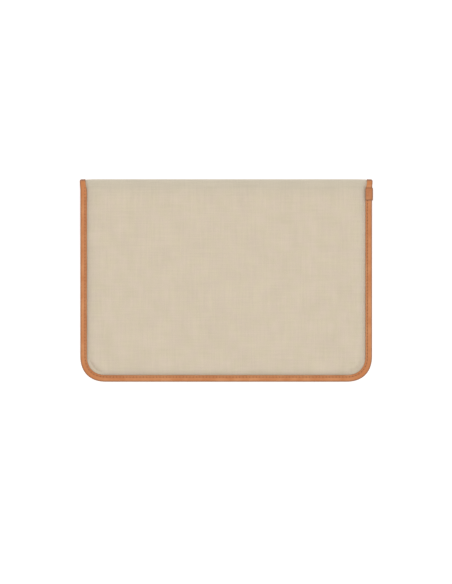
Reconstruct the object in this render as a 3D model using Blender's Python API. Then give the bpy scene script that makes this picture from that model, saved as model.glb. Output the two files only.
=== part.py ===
"""Padded laptop sleeve: a canvas pocket with a fold-over flap, its raw edges bound in leather.

The sleeve lies on its flap, as it does on a table with its plain back upwards. +X runs across
it, +Y runs from the bottom seam to the fold, and +Z points up out of the back panel. The origin
is on the table, under the middle of the closed sleeve. All sizes are in metres.

The canvas, the lining and the leather bend round the fold as one sheet each. Here the bend is a
chain of stiff strips between the pocket and the flap, with a hinge line at each gap. The hinges
share the half turn equally, and they lie where the fold keeps its length as it opens flat.
"""

import math
from typing import NamedTuple

import bmesh
import bpy
from mathutils import Matrix, Vector

# The closed sleeve, and the room inside it
SLEEVE_WIDTH = 0.346
SLEEVE_LENGTH = 0.240
POCKET_GAP = 0.0124
FLAP_REACH = 0.085
CORNER_REACH = 0.031
CORNER_POWER = 2.35

# Sheet and padding thicknesses
CANVAS = 0.0009
LINING = 0.0004
LEATHER = 0.0012
PANEL_FOAM = 0.0032
FLAP_FOAM = 0.0022
LAP_LEATHER = 0.0008

# Clearance between pieces that touch, and between the closed flap and the pocket
CLEARANCE = 0.0003

# Edges: the binding's visible width, and how far each panel takes to swell to full thickness
BAND = 0.008
SHOULDER = 0.013
FLAP_SHOULDER = 0.006
BAND_ROUND = 0.001
BAND_BEVEL = 0.0004

# The fold: how far it stands out past the pocket's mouth, and how far its corners flare
FOLD_DEPTH = 0.0095
FOLD_FLARE = 0.0014
FOLD_HINGES = 4
AXIS_OUTSET = 0.0006

# Mouth of the pocket: the front panel thins over this length to take its binding
MOUTH_RAMP = 0.006

# Stitching runs in a shallow groove pressed into the leather
STITCH_INSET = 0.0053
GROOVE_TOP = 0.0008
GROOVE_FLOOR = 0.0005
GROOVE_DEPTH = 0.00075
THREAD_HALF_WIDTH = 0.0003
THREAD_TOP = 0.00005
THREAD_FLOOR = 0.0004

# The leather lap that covers the join in the binding, beside the mouth
LAP_LENGTH = 0.015

# Magnets sewn into the flap, with their partners in the front panel
MAGNET_RADIUS = 0.007
MAGNET_THICKNESS = 0.0016
MAGNET_X = 0.060
MAGNET_FROM_EDGE = 0.024

# How finely the shapes are divided
CORNER_STEPS = 7
SWELL_STEPS = (0, 0.15, 0.35, 0.6, 1)
STRIP_STEPS = 4
MAGNET_SIDES = 24
ARC_STEPS = 200

# Base colour (linear), roughness and metallic of each material
MATERIALS = {
    "canvas": ((0.645, 0.552, 0.423), 0.85, 0.0),
    "lining": ((0.520, 0.430, 0.310), 0.80, 0.0),
    "foam": ((0.700, 0.690, 0.650), 0.90, 0.0),
    "leather": ((0.546, 0.223, 0.093), 0.55, 0.0),
    "thread": ((0.450, 0.190, 0.080), 0.60, 0.0),
    "magnet": ((0.550, 0.550, 0.560), 0.30, 1.0),
}


class Level(NamedTuple):
    """A sheet surface: its height at the seam, at full swell, and its place past the mouth.

    The first two are heights above the panel's datum. The third is a distance outwards from
    the canvas's face where the panel runs into the fold, and on the front panel it is the
    height at full swell under the mouth's binding.
    """

    seam: float
    full: float
    end: float


class Panel(NamedTuple):
    """A padded panel: its datum height, which way its heights count, and its outline."""

    datum: float
    side: int
    shoulder: float
    mouth: float
    foot: float


def stack(start, *thicknesses):
    """Running heights of a stack of sheets that starts at this height."""
    heights = [start]
    for thickness in thicknesses:
        heights.append(heights[-1] + thickness)
    return heights


# Heights of the sheets, counted outwards from the middle of the body
SEAM_STACK = stack(CLEARANCE / 2, LINING, CLEARANCE, CANVAS, CLEARANCE, LEATHER)
FULL_STACK = stack(POCKET_GAP / 2, LINING, CLEARANCE, PANEL_FOAM, CLEARANCE, CANVAS)
FOLD_STACK = stack(0, -CANVAS, -CLEARANCE, -LINING, -CLEARANCE, -LEATHER)
MOUTH_STACK = stack(FULL_STACK[5], -LEATHER, -CLEARANCE, -CANVAS, -CLEARANCE, -LINING, -CLEARANCE, -LEATHER)
BINDING_OUTSET = CLEARANCE + LEATHER

# Heights of the flap's sheets, counted up from the table
FLAP_SEAM = stack(0, LEATHER, CLEARANCE, CANVAS, CLEARANCE, LINING, CLEARANCE, LEATHER)
FLAP_FULL = stack(0, CANVAS, CLEARANCE, FLAP_FOAM, CLEARANCE, LINING)

# Places that follow from the sizes above
FLAP_TOP = max(FLAP_SEAM[-1], FLAP_FULL[-1])
BODY_MIDDLE = FLAP_TOP + CLEARANCE + FULL_STACK[5]
BACK_TOP = BODY_MIDDLE + FULL_STACK[5]
FOLD_CENTRE = BACK_TOP / 2
FOLD_START = SLEEVE_LENGTH / 2 - CLEARANCE - FOLD_DEPTH
SHEET_INSET = LEATHER + CLEARANCE

BACK = Panel(BODY_MIDDLE, 1, SHOULDER, FOLD_START, -SLEEVE_LENGTH / 2)
FRONT = Panel(BODY_MIDDLE, -1, SHOULDER, FOLD_START - BAND - MOUTH_RAMP, -SLEEVE_LENGTH / 2)
FLAP = Panel(0, 1, FLAP_SHOULDER, FOLD_START, SLEEVE_LENGTH / 2 - FLAP_REACH)

# The surfaces of each sheet. The back and the front share heights, and differ past the mouth.
BACK_CANVAS = (
    Level(SEAM_STACK[3], FULL_STACK[5], FOLD_STACK[0]),
    Level(SEAM_STACK[2], FULL_STACK[4], FOLD_STACK[1]),
)
BACK_LINING = (
    Level(SEAM_STACK[1], FULL_STACK[1], FOLD_STACK[2]),
    Level(SEAM_STACK[0], FULL_STACK[0], FOLD_STACK[3]),
)
FRONT_CANVAS = (
    Level(SEAM_STACK[3], FULL_STACK[5], MOUTH_STACK[2]),
    Level(SEAM_STACK[2], FULL_STACK[4], MOUTH_STACK[3]),
)
FRONT_LINING = (
    Level(SEAM_STACK[1], FULL_STACK[1], MOUTH_STACK[4]),
    Level(SEAM_STACK[0], FULL_STACK[0], MOUTH_STACK[5]),
)
FOAM_SURFACES = (
    Level(SEAM_STACK[2] - CLEARANCE, FULL_STACK[3], 0),
    Level(SEAM_STACK[1] + CLEARANCE, FULL_STACK[2], 0),
)
FLAP_CANVAS = (
    Level(FLAP_SEAM[2], FLAP_FULL[0], FOLD_STACK[0]),
    Level(FLAP_SEAM[3], FLAP_FULL[1], FOLD_STACK[1]),
)
FLAP_LINING = (
    Level(FLAP_SEAM[4], FLAP_FULL[4], FOLD_STACK[2]),
    Level(FLAP_SEAM[5], FLAP_FULL[5], FOLD_STACK[3]),
)
FLAP_PADDING = (
    Level(FLAP_SEAM[3] + CLEARANCE, FLAP_FULL[2], 0),
    Level(FLAP_SEAM[4] - CLEARANCE, FLAP_FULL[3], 0),
)


def swell(inset, shoulder):
    """How far a panel has swollen at this distance in from its edge, from 0 to 1."""
    share = min(max((inset - BAND) / shoulder, 0), 1)
    return 1 - (1 - share) ** 2


def insets_of(shoulder, first=None):
    """Distances in from the edge at which a panel's sheets have points."""
    steps = [BAND + share * shoulder for share in SWELL_STEPS]
    return [SHEET_INSET, *steps] if first is None else steps[first:]


def outline(panel, inset):
    """Points of the U round a panel, from its left mouth corner to its right one."""
    half = SLEEVE_WIDTH / 2 - inset
    foot = panel.foot + inset
    reach = CORNER_REACH - inset
    left = [(-half, panel.mouth)]
    for step in range(CORNER_STEPS + 1):
        angle = math.pi / 2 * step / CORNER_STEPS
        across = 1 - abs(math.cos(angle)) ** (2 / CORNER_POWER)
        along = 1 - math.sin(angle) ** (2 / CORNER_POWER)
        left.append((-half + reach * across, foot + reach * along))
    return left + [(-x, y) for x, y in reversed(left)]


def height_of(panel, level, inset):
    """World height of a surface at this distance in from the panel's edge."""
    rise = swell(inset, panel.shoulder)
    return panel.datum + panel.side * (level.seam + (level.full - level.seam) * rise)


def fold_section(inset):
    """Half axes of the fold's section at this inset, and its centre's height above FOLD_CENTRE."""
    top = height_of(BACK, BACK_CANVAS[0], inset)
    bottom = height_of(FLAP, FLAP_CANVAS[0], inset)
    dip = LEATHER * (1 - swell(inset, SHOULDER))
    return FOLD_DEPTH - dip, (top - bottom) / 2, (top + bottom) / 2 - FOLD_CENTRE


def fold_point(outset, inset, side, angle, shift=0.0):
    """Point of the fold where a ray from its centre meets the surface this far outwards.

    The angle is 0 straight up at the back panel and 180 degrees at the flap. The shift moves
    the point along the fold, square to the ray.
    """
    depth, half_height, offset = fold_section(inset)
    depth, half_height = depth + outset, half_height + outset
    sine, cosine = math.sin(angle), math.cos(angle)
    a = (sine / depth) ** 2 + (cosine / half_height) ** 2
    b = -2 * offset * cosine / half_height**2
    c = (offset / half_height) ** 2 - 1
    ray = (-b + math.sqrt(b * b - 4 * a * c)) / (2 * a)
    flare = FOLD_FLARE * sine**2 * (1 - swell(inset, SHOULDER))
    x = side * (SLEEVE_WIDTH / 2 - inset + flare)
    y = FOLD_START + ray * sine + shift * cosine
    return Vector((x, y, FOLD_CENTRE + ray * cosine - shift * sine))


def fold_curve(turn):
    """Point on the hinge curve, just outside the canvas, where its tangent has turned so far."""
    depth, half_height = FOLD_DEPTH + AXIS_OUTSET, BACK_TOP / 2 + AXIS_OUTSET
    angle = math.atan2(depth * math.sin(turn), half_height * math.cos(turn))
    return Vector((0, FOLD_START + depth * math.sin(angle), FOLD_CENTRE + half_height * math.cos(angle)))


def hinge_point(first, last):
    """Where a hinge has to lie for the curve between these two tangent angles to open flat."""
    points = [fold_curve(first + (last - first) * i / ARC_STEPS) for i in range(ARC_STEPS + 1)]
    length = sum((b - a).length for a, b in zip(points, points[1:]))
    start, end = points[0], points[-1]
    ahead = Vector((0, math.cos(first), -math.sin(first)))
    landing = start + ahead * length
    # The flap turns from pointing back under the pocket to pointing ahead, about +X.
    turn = Matrix.Rotation(last - first, 3, "X")
    gap = landing - turn @ end
    bisector = Matrix(((1 - turn[1][1], -turn[1][2]), (-turn[2][1], 1 - turn[2][2])))
    y, z = bisector.inverted() @ gap.yz
    return Vector((0, y, z))


HINGE_TURN = math.pi / FOLD_HINGES
HINGES = [hinge_point(k * HINGE_TURN, (k + 1) * HINGE_TURN) for k in range(FOLD_HINGES)]


def angle_of(hinge):
    """Angle round the fold at which a hinge lies."""
    return math.atan2(hinge.y - FOLD_START, hinge.z - FOLD_CENTRE)


def fold_row(angle, shift=0.0):
    """Places a sheet's points along one line of the fold."""
    return lambda level, inset, side: fold_point(level.end, inset, side, angle, shift)


def strip_rows(first, last):
    """Lines of one fold strip between two hinges, with half a gap left at each."""
    turns = [first + (last - first) * step / STRIP_STEPS for step in range(1, STRIP_STEPS)]
    middle = [fold_row(turn) for turn in turns]
    return [fold_row(first, CLEARANCE / 2), *middle, fold_row(last, -CLEARANCE / 2)]


def mouth_row(y):
    """Places the front panel's points along the mouth, where its sheets draw together."""

    def place(level, inset, side):
        rise = swell(inset, FRONT.shoulder)
        height = level.seam + (level.end - level.seam) * rise
        return Vector((side * (SLEEVE_WIDTH / 2 - inset), y, FRONT.datum - height))

    return place


def ring(panel, level, inset, end_rows):
    """One line of points at a fixed inset: left end rows, the U, then right end rows."""
    left = [row(level, inset, -1) for row in reversed(end_rows)]
    height = height_of(panel, level, inset)
    around = [Vector((x, y, height)) for x, y in outline(panel, inset)]
    return left + around + [row(level, inset, 1) for row in end_rows]


def material(name):
    """The Principled material of this name, made once."""
    if name in bpy.data.materials:
        return bpy.data.materials[name]
    colour, roughness, metallic = MATERIALS[name]
    made = bpy.data.materials.new(name)
    made.use_nodes = True
    shader = made.node_tree.nodes["Principled BSDF"]
    shader.inputs["Base Color"].default_value = (*colour, 1)
    shader.inputs["Roughness"].default_value = roughness
    shader.inputs["Metallic"].default_value = metallic
    made.diffuse_color = (*colour, 1)
    return made


def solid(name, finish, points, faces, parent, origin=Vector()):
    """A closed mesh object with its origin at its joint, parented to its body's empty."""
    mesh = bpy.data.meshes.new(name)
    mesh.from_pydata([point - origin for point in points], [], faces)
    work = bmesh.new()
    work.from_mesh(mesh)
    bmesh.ops.recalc_face_normals(work, faces=work.faces)
    work.to_mesh(mesh)
    work.free()
    mesh.shade_smooth()
    mesh.set_sharp_from_angle(angle=math.radians(40))
    mesh.materials.append(material(finish))
    made = bpy.data.objects.new(name, mesh)
    bpy.context.scene.collection.objects.link(made)
    made.parent = parent
    made.location = origin - parent.location
    return made


def body(name, origin=Vector()):
    """An empty that stands for one moving body, on its joint's axis."""
    empty = bpy.data.objects.new(name, None)
    empty.empty_display_size = 0.02
    empty.location = origin
    bpy.context.scene.collection.objects.link(empty)
    return empty


def thick_sheet(name, finish, outer, inner, faces, parent):
    """Closes two matching surfaces into a solid, with a wall round their open edges."""
    count = len(outer)
    used = {}
    for face in faces:
        for a, b in zip(face, face[1:] + face[:1]):
            used.setdefault(frozenset((a, b)), []).append((a, b))
    rim = [ends[0] for ends in used.values() if len(ends) == 1]
    walls = [(b, a, a + count, b + count) for a, b in rim]
    # Starting at the same corner makes both surfaces split their quads along the same diagonal.
    back = [tuple(i + count for i in (face[0], *reversed(face[1:]))) for face in faces]
    origin = parent.location.copy()
    return solid(name, finish, outer + inner, [*faces, *back, *walls], parent, origin)


def grid_faces(rows, columns, first=0):
    """Quads between neighbouring lines of points that lie one after another."""
    return [
        (first + r * columns + c, first + r * columns + c + 1,
         first + (r + 1) * columns + c + 1, first + (r + 1) * columns + c)
        for r in range(rows - 1)
        for c in range(columns - 1)
    ]


def panel_sheet(name, finish, panel, levels, insets, parent, end_rows=()):
    """One sheet of a panel: swelling rings round the U, and a flat middle."""
    surfaces = []
    for level in levels:
        rings = [ring(panel, level, inset, end_rows) for inset in insets]
        surfaces.append([point for line in rings for point in line])
    columns = len(surfaces[0]) // len(insets)
    faces = grid_faces(len(insets), columns)
    inner = (len(insets) - 1) * columns
    ends = len(end_rows)
    faces.append(tuple(range(inner + ends, inner + columns - ends)))
    for k in range(ends):
        left, right = inner + k, inner + columns - 1 - k
        faces.append((left, left + 1, right - 1, right))
    return thick_sheet(name, finish, surfaces[0], surfaces[1], faces, parent)


def across(insets):
    """Side and inset of each point on a line right across the sleeve, left to right."""
    return [(-1, inset) for inset in insets] + [(1, inset) for inset in reversed(insets)]


def fold_sheet(name, finish, levels, rows, parent):
    """One sheet of a fold strip, across the whole sleeve."""
    line = across(insets_of(SHOULDER))
    surfaces = [[row(level, inset, side) for row in rows for side, inset in line] for level in levels]
    faces = grid_faces(len(rows), len(line))
    return thick_sheet(name, finish, surfaces[0], surfaces[1], faces, parent)


def sweep(name, finish, rails, parent):
    """A closed profile carried along: each rail is the path of one of its corners."""
    length = len(rails[0])
    faces = []
    for i in range(len(rails)):
        a, b = i * length, (i + 1) % len(rails) * length
        faces += [(a + j, a + j + 1, b + j + 1, b + j) for j in range(length - 1)]
    faces.append(tuple(i * length for i in range(len(rails))))
    faces.append(tuple(i * length + length - 1 for i in reversed(range(len(rails)))))
    points = [point for rail in rails for point in rail]
    return solid(name, finish, points, faces, parent, parent.location.copy())


def grooved_face():
    """Leather face from its free edge to its turn: (inset, depth under the face)."""
    return [
        (BAND, BAND_BEVEL),
        (BAND - BAND_BEVEL, 0),
        (STITCH_INSET + GROOVE_TOP, 0),
        (STITCH_INSET + GROOVE_FLOOR, GROOVE_DEPTH),
        (STITCH_INSET - GROOVE_FLOOR, GROOVE_DEPTH),
        (STITCH_INSET - GROOVE_TOP, 0),
        (BAND_ROUND, 0),
        (BAND_ROUND * 0.3, BAND_ROUND * 0.3),
        (0, BAND_ROUND),
    ]


def thread_section():
    """Corners of the thread in its groove: (inset, depth under the leather's face)."""
    middle = (THREAD_TOP + THREAD_FLOOR) / 2
    return [
        (STITCH_INSET + THREAD_HALF_WIDTH, middle),
        (STITCH_INSET, THREAD_TOP),
        (STITCH_INSET - THREAD_HALF_WIDTH, middle),
        (STITCH_INSET, THREAD_FLOOR),
    ]


def binding_section():
    """Corners of the folded binding: (which face it is measured from, inset, depth)."""
    outer = [(0, inset, depth) for inset, depth in grooved_face()]
    inner = [(1, inset, depth) for inset, depth in reversed(grooved_face())]
    pocket = [(1, BAND, LEATHER), (1, LEATHER, LEATHER), (0, LEATHER, LEATHER), (0, BAND, LEATHER)]
    return outer + inner + pocket


# Outer and inner face of each binding: height at the seam, and distance out in the fold
BODY_FACES = (
    Level(SEAM_STACK[5], 0, BINDING_OUTSET),
    Level(-SEAM_STACK[5], 0, FOLD_STACK[5]),
)
FLAP_FACES = (
    Level(FLAP_SEAM[0], 0, BINDING_OUTSET),
    Level(FLAP_SEAM[7], 0, FOLD_STACK[5]),
)


def sunk(faces, which, depth):
    """The surface this deep in the binding, under its outer (0) or inner (1) face."""
    face, other = faces[which], faces[1 - which]
    inwards = 1 if other.seam > face.seam else -1
    towards = 1 if other.end > face.end else -1
    return Level(face.seam + inwards * depth, 0, face.end + towards * depth)


def edge_sweep(name, finish, panel, faces, section, parent, end_rows=()):
    """A profile that follows a panel's edge: the binding, or a thread in its groove."""
    rails = [
        [
            row(level, inset, -1) for row in reversed(end_rows)
        ] + [
            Vector((x, y, panel.datum + panel.side * level.seam)) for x, y in outline(panel, inset)
        ] + [
            row(level, inset, 1) for row in end_rows
        ]
        for which, inset, depth in section
        for level in [sunk(faces, which, depth)]
    ]
    return sweep(name, finish, rails, parent)


def fold_binding(name, side, rows, parent):
    """The stretch of binding on one end of a fold strip."""
    rails = [
        [row(sunk(BODY_FACES, which, depth), inset, side) for row in rows]
        for which, inset, depth in binding_section()
    ]
    return sweep(name, "leather", rails, parent)


def mouth_sweep(name, finish, section, parent):
    """A profile that follows the mouth of the front panel: its binding, or a thread on it."""
    faces = (
        Level(SEAM_STACK[5], 0, MOUTH_STACK[0]),
        Level(SEAM_STACK[0] - BINDING_OUTSET, 0, MOUTH_STACK[7]),
    )
    line = across(insets_of(SHOULDER, first=3))
    rails = [
        [mouth_row(FOLD_START - back)(sunk(faces, which, depth), inset, side) for side, inset in line]
        for which, back, depth in section
    ]
    return sweep(name, finish, rails, parent)


def lap(parent):
    """The short leather wrap over the join in the binding, on the right by the mouth."""
    outset = CLEARANCE + LAP_LEATHER
    reach = SEAM_STACK[5] + outset
    turn = BAND_ROUND + outset
    section = [
        (BAND, reach), (BAND_ROUND - outset, reach), (-outset, reach - turn),
        (-outset, turn - reach), (BAND_ROUND - outset, -reach), (BAND, -reach),
        (BAND, LAP_LEATHER - reach), (BAND_ROUND - CLEARANCE, LAP_LEATHER - reach),
        (-CLEARANCE, turn - reach), (-CLEARANCE, reach - turn),
        (BAND_ROUND - CLEARANCE, reach - LAP_LEATHER), (BAND, reach - LAP_LEATHER),
    ]
    ends = (FOLD_START - LAP_LENGTH, FOLD_START)
    rails = [
        [Vector((SLEEVE_WIDTH / 2 - inset, y, BODY_MIDDLE + height)) for y in ends]
        for inset, height in section
    ]
    return sweep("binding_lap", "leather", rails, parent)


def disc(name, centre, radius, thickness, parent):
    """A round plate, standing for a magnet or for the tool that cuts its seat."""
    turns = [2 * math.pi * i / MAGNET_SIDES for i in range(MAGNET_SIDES)]
    around = [Vector((radius * math.cos(t), radius * math.sin(t), 0)) for t in turns]
    half = Vector((0, 0, thickness / 2))
    rails = [[centre + point - half, centre + point + half] for point in around]
    return sweep(name, "magnet", rails, parent)


def magnet(name, foam, side, surface, panel):
    """A magnet just under the canvas, and the hole for it in the panel's foam."""
    outer = panel.datum + panel.side * surface[0].full
    inwards = 1 if surface[1].full > surface[0].full else -1
    y = FLAP.foot + MAGNET_FROM_EDGE
    height = outer + panel.side * inwards * MAGNET_THICKNESS / 2
    centre = Vector((side * MAGNET_X, y, height))
    disc(name, centre, MAGNET_RADIUS, MAGNET_THICKNESS, foam.parent)
    through = 4 * (PANEL_FOAM + FLAP_FOAM)
    cutter = disc(name + "_seat", centre, MAGNET_RADIUS + CLEARANCE, through, foam.parent)
    cutter.hide_render = True
    cutter.display_type = "WIRE"
    cut = foam.modifiers.new(name + "_seat", "BOOLEAN")
    cut.operation = "DIFFERENCE"
    cut.solver = "EXACT"
    cut.object = cutter


def build_body(pocket):
    """The pocket: back and front panels, their binding, the mouth and the lap."""
    to_fold = [fold_row(angle_of(HINGES[0]), -CLEARANCE / 2)]
    all_insets = insets_of(SHOULDER)
    foam_insets = insets_of(SHOULDER, first=2)
    padded = BACK._replace(mouth=FOLD_START - CLEARANCE)
    panel_sheet("back_canvas", "canvas", BACK, BACK_CANVAS, all_insets, pocket, to_fold)
    panel_sheet("back_foam", "foam", padded, FOAM_SURFACES, foam_insets, pocket)
    panel_sheet("back_lining", "lining", BACK, BACK_LINING, all_insets, pocket, to_fold)

    to_mouth = [mouth_row(FOLD_START - BAND), mouth_row(FOLD_START - SHEET_INSET)]
    panel_sheet("front_canvas", "canvas", FRONT, FRONT_CANVAS, all_insets, pocket, to_mouth)
    front_foam = panel_sheet("front_foam", "foam", FRONT, FOAM_SURFACES, foam_insets, pocket)
    panel_sheet("front_lining", "lining", FRONT, FRONT_LINING, all_insets, pocket, to_mouth)

    section = binding_section()
    thread = thread_section()
    edge_sweep("body_binding", "leather", BACK, BODY_FACES, section, pocket, to_fold)
    mouth_sweep("mouth_binding", "leather", section, pocket)
    for which, row in enumerate(("needle", "bobbin")):
        corners = [(which, inset, depth) for inset, depth in thread]
        edge_sweep(f"body_{row}_thread", "thread", BACK, BODY_FACES, corners, pocket)
        mouth_sweep(f"mouth_{row}_thread", "thread", corners, pocket)
    lap(pocket)
    for side, word in ((-1, "left"), (1, "right")):
        magnet(f"pocket_magnet_{word}", front_foam, side, FOAM_SURFACES, FRONT)


def build_fold_strip(number, strip):
    """One of the strips of canvas, lining and binding that go round the fold."""
    rows = strip_rows(angle_of(HINGES[number - 1]), angle_of(HINGES[number]))
    fold_sheet(f"fold_canvas_{number}", "canvas", BACK_CANVAS, rows, strip)
    fold_sheet(f"fold_lining_{number}", "lining", BACK_LINING, rows, strip)
    for side, word in ((-1, "left"), (1, "right")):
        fold_binding(f"fold_binding_{word}_{number}", side, rows, strip)


def build_flap(flap):
    """The flap, with its binding, stitching and magnets."""
    from_fold = [fold_row(angle_of(HINGES[-1]), CLEARANCE / 2)]
    all_insets = insets_of(FLAP_SHOULDER)
    foam_insets = insets_of(FLAP_SHOULDER, first=3)
    padded = FLAP._replace(mouth=FOLD_START - CLEARANCE)
    panel_sheet("flap_canvas", "canvas", FLAP, FLAP_CANVAS, all_insets, flap, from_fold)
    flap_foam = panel_sheet("flap_foam", "foam", padded, FLAP_PADDING, foam_insets, flap)
    panel_sheet("flap_lining", "lining", FLAP, FLAP_LINING, all_insets, flap, from_fold)
    edge_sweep("flap_binding", "leather", FLAP, FLAP_FACES, binding_section(), flap, from_fold)
    for which, row in enumerate(("needle", "bobbin")):
        corners = [(which, inset, depth) for inset, depth in thread_section()]
        edge_sweep(f"flap_{row}_thread", "thread", FLAP, FLAP_FACES, corners, flap)
    for side, word in ((-1, "left"), (1, "right")):
        magnet(f"flap_magnet_{word}", flap_foam, side, FLAP_PADDING, FLAP)


def main():
    for old in list(bpy.data.objects):
        bpy.data.objects.remove(old, do_unlink=True)
    build_body(body("pocket"))
    for number in range(1, FOLD_HINGES):
        build_fold_strip(number, body(f"fold_strip_{number}", HINGES[number - 1]))
    build_flap(body("flap", HINGES[-1]))
    bpy.context.view_layer.update()


main()
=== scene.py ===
"""Render model of the padded laptop sleeve: canvas, lining, leather binding and stitches.

It keeps to the CAD frame, in metres: +X across, +Y towards the fold, +Z out of the back panel.
"""

import math

import bmesh
import bpy
import numpy as np
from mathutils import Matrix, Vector


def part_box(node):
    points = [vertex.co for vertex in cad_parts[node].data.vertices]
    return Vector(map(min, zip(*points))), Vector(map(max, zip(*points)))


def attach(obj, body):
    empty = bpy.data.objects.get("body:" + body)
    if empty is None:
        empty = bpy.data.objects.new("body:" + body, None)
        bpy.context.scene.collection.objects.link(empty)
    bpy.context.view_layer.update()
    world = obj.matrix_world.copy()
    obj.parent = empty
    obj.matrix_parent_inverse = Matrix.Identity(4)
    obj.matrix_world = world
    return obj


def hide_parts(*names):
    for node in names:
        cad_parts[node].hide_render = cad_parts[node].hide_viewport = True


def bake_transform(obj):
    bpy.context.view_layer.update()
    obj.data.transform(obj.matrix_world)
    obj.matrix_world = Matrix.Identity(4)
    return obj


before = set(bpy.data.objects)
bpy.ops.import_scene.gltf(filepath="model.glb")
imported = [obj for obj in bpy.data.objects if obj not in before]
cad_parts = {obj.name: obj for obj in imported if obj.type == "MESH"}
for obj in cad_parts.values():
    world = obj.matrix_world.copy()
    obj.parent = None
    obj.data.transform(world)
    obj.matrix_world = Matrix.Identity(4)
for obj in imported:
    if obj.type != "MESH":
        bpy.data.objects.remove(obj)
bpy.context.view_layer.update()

# Sheet thicknesses, edge sizes and the clearance between sheets, as the CAD has them
CANVAS = 0.0009
LINING = 0.0004
LEATHER = 0.0012
LAP_LEATHER = 0.0008
PANEL_FOAM = 0.0032
FLAP_FOAM = 0.0022
POCKET_GAP = 0.0124
CLEARANCE = 0.0003
BAND = 0.008
SHOULDER = 0.013
FLAP_SHOULDER = 0.006
CORNER_REACH = 0.031
CORNER_POWER = 2.35
FOLD_FLARE = 0.0014
STITCH_INSET = 0.0053
MOUTH_RAMP = 0.006
SHEET_INSET = LEATHER + CLEARANCE
BINDING_OUTSET = LEATHER + CLEARANCE

# Places read from the CAD
HALF_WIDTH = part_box("front_canvas")[1][0] + SHEET_INSET
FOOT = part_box("body_binding")[0][1]
FOLD_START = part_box("binding_lap")[1][1]
LAP_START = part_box("binding_lap")[0][1]
BACK_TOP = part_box("back_canvas")[1][2]
BODY_MIDDLE = (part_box("body_binding")[0][2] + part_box("body_binding")[1][2]) / 2
FLAP_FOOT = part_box("flap_binding")[0][1]
FOLD_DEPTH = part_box("fold_canvas_2")[1][1] - FOLD_START
FOLD_CENTRE = BACK_TOP / 2

# How the sleeve's edge stands out beside the fold
FLARE_START = FOLD_START - 0.003
FLARE_RUN = 0.0125
FLARE_MOST = 1.2
FLARE_POWER = 1.4

# Angles round the fold in degrees: where pieces meet, between points, and of the lining's slope
SPLITS = (32.4, 90.0, 147.6)
ANGLE_STEP = 3.6
LINING_SLOPE = 25.0

# Beside the fold: how far the canvas's painted shade reaches, and where it goes under the binding
FOLD_SHADE = 0.004
SHADE_SLOPE = 0.9
UNDER_RUN = 0.0025

# Stitches
PITCH = 0.00395
THREAD_RADIUS = 0.00034
STITCH_SHARE = 0.86
LEFT_UNSTITCHED = 0.010
THREAD_EDGE = 0.02
PLY_LENGTH = 0.0006
PLY_SLANT = 12000.0
RINGS = 7
SIDES = 8

# Relief of the panels
CROWN = 0.0009
CROWN_POWER = 5
WAVE = 0.00016
WAVE_COUNT = 9
WAVE_LENGTHS = (0.11, 0.035)
PUFF_CAP = 0.0007
FOLD_BULGE = 0.0009
CORNER_LEDGE = 0.0034
CORNER_SHOULDER = 0.0080
LEDGE_SHARES = ((-1, 1.0), (1, 0.5))
LEDGE_SPREAD = 0.5

RNG = np.random.default_rng(7)


def stack(start, *thicknesses):
    """Running heights of a stack of sheets."""
    return [start + sum(thicknesses[:k]) for k in range(len(thicknesses) + 1)]


SEAM = stack(CLEARANCE / 2, LINING, CLEARANCE, CANVAS, CLEARANCE, LEATHER)
FULL = stack(POCKET_GAP / 2, LINING, CLEARANCE, PANEL_FOAM, CLEARANCE, CANVAS)
FOLD = stack(0, -CANVAS, -CLEARANCE, -LINING, -CLEARANCE, -LEATHER)
MOUTH = stack(FULL[5], -LEATHER, -CLEARANCE, -CANVAS, -CLEARANCE, -LINING, -CLEARANCE, -LEATHER)
FLAP_SEAM = stack(0, LEATHER, CLEARANCE, CANVAS, CLEARANCE, LINING, CLEARANCE, LEATHER)
FLAP_FULL = stack(0, CANVAS, CLEARANCE, FLAP_FOAM, CLEARANCE, LINING)


def smooth(t):
    t = np.clip(t, 0, 1)
    return t * t * (3 - 2 * t)


def swell(inset, shoulder):
    """How far a panel has swollen at this distance in from its edge, from 0 to 1."""
    share = np.clip((inset - BAND) / shoulder, 0, 1)
    return 1 - (1 - share) ** 2


def waves(x, y, count, longest, shortest):
    """Gentle unevenness from -1 to 1: a few sine waves in seeded directions."""
    total = np.zeros(np.broadcast(x, y).shape)
    for _ in range(count):
        length = RNG.uniform(shortest, longest)
        turn, phase = RNG.uniform(0, 2 * math.pi, 2)
        ahead = x * math.cos(turn) + y * math.sin(turn)
        total = total + np.sin(2 * math.pi * ahead / length + phase)
    return total / math.sqrt(count)


def flare_at(y):
    """How far the sleeve's edge stands out at this height up its side, near the fold."""
    return FOLD_FLARE * np.clip((y - FLARE_START) / FLARE_RUN, 0, FLARE_MOST) ** FLARE_POWER


def round_corners(x, y, foot):
    """Draws the points of a rectangle in to rounded lower corners; gives x, y and inset."""
    p = np.clip(np.abs(x) - (HALF_WIDTH - CORNER_REACH), 0, None)
    q = np.clip(foot + CORNER_REACH - y, 0, None)
    curve = (p**CORNER_POWER + q**CORNER_POWER) ** (1 / CORNER_POWER)
    draw = np.maximum(p, q) / np.maximum(curve, 1e-9)
    draw = np.where(curve > 0, draw, 1)
    inset = np.minimum(HALF_WIDTH - np.abs(x), y - foot)
    return np.sign(x) * (np.abs(x) - p * (1 - draw)), y + q * (1 - draw), inset


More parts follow.
